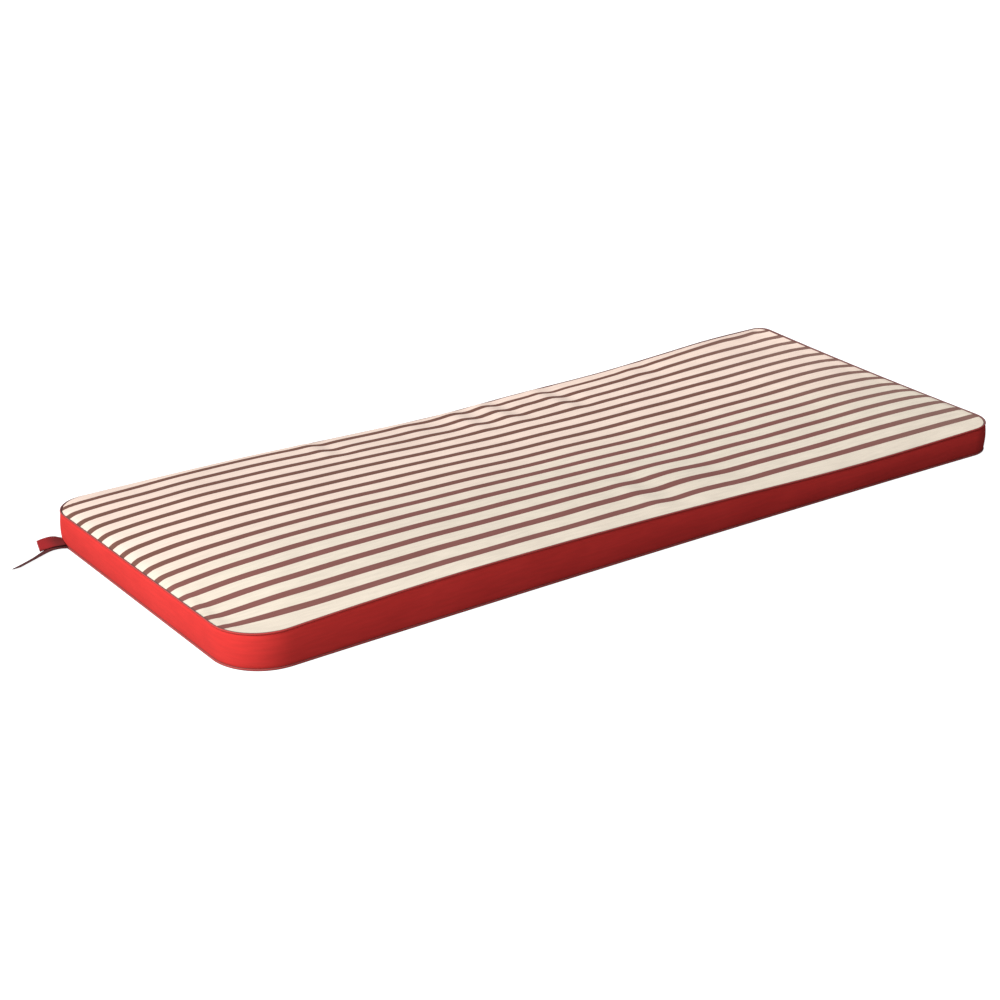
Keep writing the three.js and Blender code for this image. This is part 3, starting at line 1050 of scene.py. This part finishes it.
def make_piping(name, height_at):
    """A covered cord that a node tree sweeps along a ring of edges in one seam."""
    spots = [spot for spot, _ in outline_stations(PIPING_INSET)]
    places = [in_metres(spot.x, spot.y, height_at(spot.x, spot.y)) for spot in spots]
    count = len(places)
    mesh = bpy.data.meshes.new(name)
    mesh.from_pydata(places, [(i, (i + 1) % count) for i in range(count)], [])
    values = {"Radius": dims().piping_radius, "Sides": dims().piping_sides}
    return run_nodes(link_object(name, mesh), piping_tree(), values)


# Tie tapes


def tape_frames(rows):
    """Places along a tape with the directions along it, across it and up from it."""
    columns = list(zip(*(Vector((row["x"], row["y"], row["z"])) for row in rows)))
    columns.append([row["tilt"] for row in rows])
    spots, tilts = [], []
    for i in range((len(rows) - 1) * TAPE_STEPS + 1):
        *spot, tilt = (curve_through(list(enumerate(c)), i / TAPE_STEPS) for c in columns)
        spots.append(Vector(spot))
        tilts.append(math.radians(tilt))
    frames = []
    for i, (spot, tilt) in enumerate(zip(spots, tilts)):
        before, after = spots[max(i - 1, 0)], spots[min(i + 1, len(spots) - 1)]
        along = (after - before).normalized()
        level = Vector((along.y, -along.x, 0)).normalized()
        across = Quaternion(along, -tilt) @ level
        frames.append((spot, along, across, across.cross(along).normalized()))
    return frames


def tape_section(half, thick):
    """Upper face of a tape from side to side, then its lower face back."""
    steps, edge = TAPE_SECTION["steps"], TAPE_SECTION["edge_share"]
    section = []
    for i in range(steps + 1):
        side = -1 + 2 * i / steps
        soft = 1 - abs(side) ** TAPE_SECTION["power"]
        section.append((side * half, thick * (edge + (1 - edge) * soft)))
    return section + [(across, -up) for across, up in reversed(section)]


def make_tape(name, rows, end_slant):
    """A folded flat tape and its length. Its free end is cut at a slant, as far as end_slant."""
    half = dims().tape_width / MM / 2
    section = tape_section(half, dims().tape_thickness / MM / 2)
    frames = tape_frames(rows)
    places, cloth = [], []
    travelled = 0
    for i, (spot, along, across, up) in enumerate(frames):
        if i:
            travelled += (spot - frames[i - 1][0]).length
        last = smoothstep(i / (len(frames) - 1), SLANT_FROM, 1)
        for offset, rise in section:
            slide = along * (end_slant * last * offset / half)
            places.append((spot + across * offset + up * rise + slide) * MM)
            cloth.append((travelled * MM, offset * MM))
    faces = ring_faces(len(frames), len(section), False)
    return new_piece(name, places, faces, cloth), travelled * MM


# Camera, lights and floor


def looking_from(direction):
    """Rotation of a camera or a light that looks back from a direction."""
    return Vector(direction).to_track_quat("Z", "Y").to_euler()


def empty_tree(owner):
    """The node tree of a material or a world, without its first nodes."""
    owner.use_nodes = True
    owner.node_tree.nodes.clear()
    return owner.node_tree


def show_camera(tree, seen, unseen, output):
    """One shader for what the camera sees, and another for the light that it sends on."""
    light = add(tree, "ShaderNodeLightPath")
    inputs = {0: light["Is Camera Ray"], 1: unseen[0], 2: seen[0]}
    add(tree, output, {0: add(tree, "ShaderNodeMixShader", inputs)[0]})


def floor_material():
    """A pale matt floor that keeps a faint shadow and sends little light back up."""
    material = bpy.data.materials.new("studio_floor")
    tree = empty_tree(material)
    matt = add(tree, "ShaderNodeBsdfDiffuse", {"Color": FLOOR_GREY})
    glow = add(tree, "ShaderNodeEmission", {"Color": WHITE, "Strength": FLOOR_GLOW})
    seen = add(tree, "ShaderNodeAddShader", {0: matt[0], 1: glow[0]})
    bounce = add(tree, "ShaderNodeBsdfDiffuse", {"Color": FLOOR_BOUNCE})
    show_camera(tree, seen, bounce, "ShaderNodeOutputMaterial")
    return material


def studio_world(strength):
    """White behind everything, and an even fill light."""
    world = bpy.data.worlds.new("studio")
    tree = empty_tree(world)
    fill = add(tree, "ShaderNodeBackground", {"Color": COOL_WHITE, "Strength": strength})
    white = add(tree, "ShaderNodeBackground", {"Color": WHITE, "Strength": 1.0})
    show_camera(tree, white, fill, "ShaderNodeOutputWorld")
    return world


# Operators


class CushionOperator(bpy.types.Operator):
    """Base of the operators that make the cushion"""

    bl_options = {"REGISTER", "UNDO"}


class OBJECT_OT_cushion_camera(CushionOperator):
    """Places the camera at the photograph's viewing angle"""

    bl_idname = "cushion.camera"
    bl_label = "Camera"

    def execute(self, context):
        azimuth, elevation = math.radians(VIEW["azimuth"]), math.radians(VIEW["elevation"])
        back = Vector((
            math.sin(azimuth) * math.cos(elevation),
            -math.cos(azimuth) * math.cos(elevation),
            math.sin(elevation),
        ))
        data = bpy.data.cameras.new("camera")
        data.lens = VIEW["lens"]
        data.sensor_width = SENSOR_WIDTH
        data.clip_end = VIEW_END
        camera = link_object("camera", data)
        camera.location = Vector(VIEW_TARGET) + back * VIEW["distance"]
        camera.rotation_euler = looking_from(back)
        context.scene.camera = camera
        return {"FINISHED"}


class OBJECT_OT_cushion_top(CushionOperator):
    """Makes the filled body with its striped top"""

    bl_idname = "cushion.top"
    bl_label = "Filled top"

    def execute(self, context):
        piece = make_filled_top()
        finish_piece(piece, "top_cloth", "cushion_pad")
        return {"FINISHED"}


class OBJECT_OT_cushion_boxing(CushionOperator):
    """Makes the strip round the sides"""

    bl_idname = "cushion.boxing"
    bl_label = "Boxing"

    def execute(self, context):
        piece = make_boxing()
        finish_piece(piece, "side_cloth", "boxing")
        return {"FINISHED"}


class OBJECT_OT_cushion_base(CushionOperator):
    """Makes the flat cloth underneath"""

    bl_idname = "cushion.base"
    bl_label = "Base panel"

    def execute(self, context):
        piece = make_base_panel()
        finish_piece(piece, "side_cloth", "base_panel")
        return {"FINISHED"}


class OBJECT_OT_cushion_pipings(CushionOperator):
    """Makes the covered cords in both seams"""

    bl_idname = "cushion.pipings"
    bl_label = "Pipings"

    def execute(self, context):
        upper = make_piping("top_piping", seam_height)
        finish_piece(upper, "piping_cloth", "piping_top")
        lower = make_piping("base_piping", lambda x, y: BASE_SEAM_Z)
        finish_piece(lower, "piping_cloth", "piping_base")
        return {"FINISHED"}


class OBJECT_OT_cushion_ties(CushionOperator):
    """Makes the two tie tapes"""

    bl_idname = "cushion.ties"
    bl_label = "Tie tapes"

    def execute(self, context):
        ties = (
            ("short_tape", SHORT_TIE, SHORT_SLANT, "tie_short"),
            ("long_tape", LONG_TIE, LONG_SLANT, "tie_long"),
        )
        for name, rows, slant, node in ties:
            piece, length = make_tape(name, rows, slant)
            finish_piece(piece, "tie_tape", node)
        return {"FINISHED"}


class OBJECT_OT_cushion_stage(CushionOperator):
    """Makes the pale floor and the lights"""

    bl_idname = "cushion.stage"
    bl_label = "Stage"

    def execute(self, context):
        studio = context.scene.cushion_studio
        ends = (-FLOOR_REACH, FLOOR_REACH)
        corners = [(x, y, 0) for y in ends for x in ends]
        floor = new_piece("floor", corners, [(0, 1, 3, 2)], smooth=False)
        floor.data.materials.append(floor_material())
        sun = bpy.data.lights.new("key_light", "SUN")
        sun.energy = studio.key
        sun.angle = KEY_ANGLE
        link_object("key_light", sun).rotation_euler = looking_from(KEY_FROM)
        box = bpy.data.lights.new("corner_light", "AREA")
        box.energy = studio.corner
        box.size = CORNER_LIGHT["size"]
        corner = link_object("corner_light", box)
        corner.location = CORNER_LIGHT["place"]
        corner.rotation_euler = looking_from(corner.location - Vector(CORNER_LIGHT["aim"]))
        context.scene.world = studio_world(studio.fill)
        context.scene.view_settings.view_transform = "Standard"
        context.scene.view_settings.look = "None"
        return {"FINISHED"}


SETTINGS = {
    "cushion_sizes": CushionSizes,
    "cushion_colours": CushionColours,
    "cushion_studio": CushionStudio,
}
OPERATORS = (
    OBJECT_OT_cushion_camera,
    OBJECT_OT_cushion_top,
    OBJECT_OT_cushion_boxing,
    OBJECT_OT_cushion_base,
    OBJECT_OT_cushion_pipings,
    OBJECT_OT_cushion_ties,
    OBJECT_OT_cushion_stage,
)


class VIEW3D_PT_cushion(bpy.types.Panel):
    """Lists the cushion's sizes, colours and operators"""

    bl_label = "Cushion"
    bl_space_type = "VIEW_3D"
    bl_region_type = "UI"
    bl_category = "Cushion"

    def draw(self, context):
        for settings in SETTINGS:
            group = getattr(context.scene, settings)
            box = self.layout.box()
            for name in group.__annotations__:
                box.prop(group, name)
        for operator in OPERATORS:
            self.layout.operator(operator.bl_idname)


CLASSES = (*SETTINGS.values(), *OPERATORS, VIEW3D_PT_cushion)


def register():
    """Adds the classes, and the settings to the scene."""
    for item in CLASSES:
        bpy.utils.register_class(item)
    for name, group in SETTINGS.items():
        setattr(bpy.types.Scene, name, bpy.props.PointerProperty(type=group))


def unregister():
    """Takes the settings and the classes away again."""
    for name in SETTINGS:
        delattr(bpy.types.Scene, name)
    for item in reversed(CLASSES):
        bpy.utils.unregister_class(item)


def main():
    """Makes the cushion and its stage."""
    register()
    bpy.ops.cushion.camera()
    bpy.ops.cushion.top()
    bpy.ops.cushion.boxing()
    bpy.ops.cushion.base()
    bpy.ops.cushion.pipings()
    bpy.ops.cushion.ties()
    bpy.ops.cushion.stage()


if __name__ == "__main__":
    main()
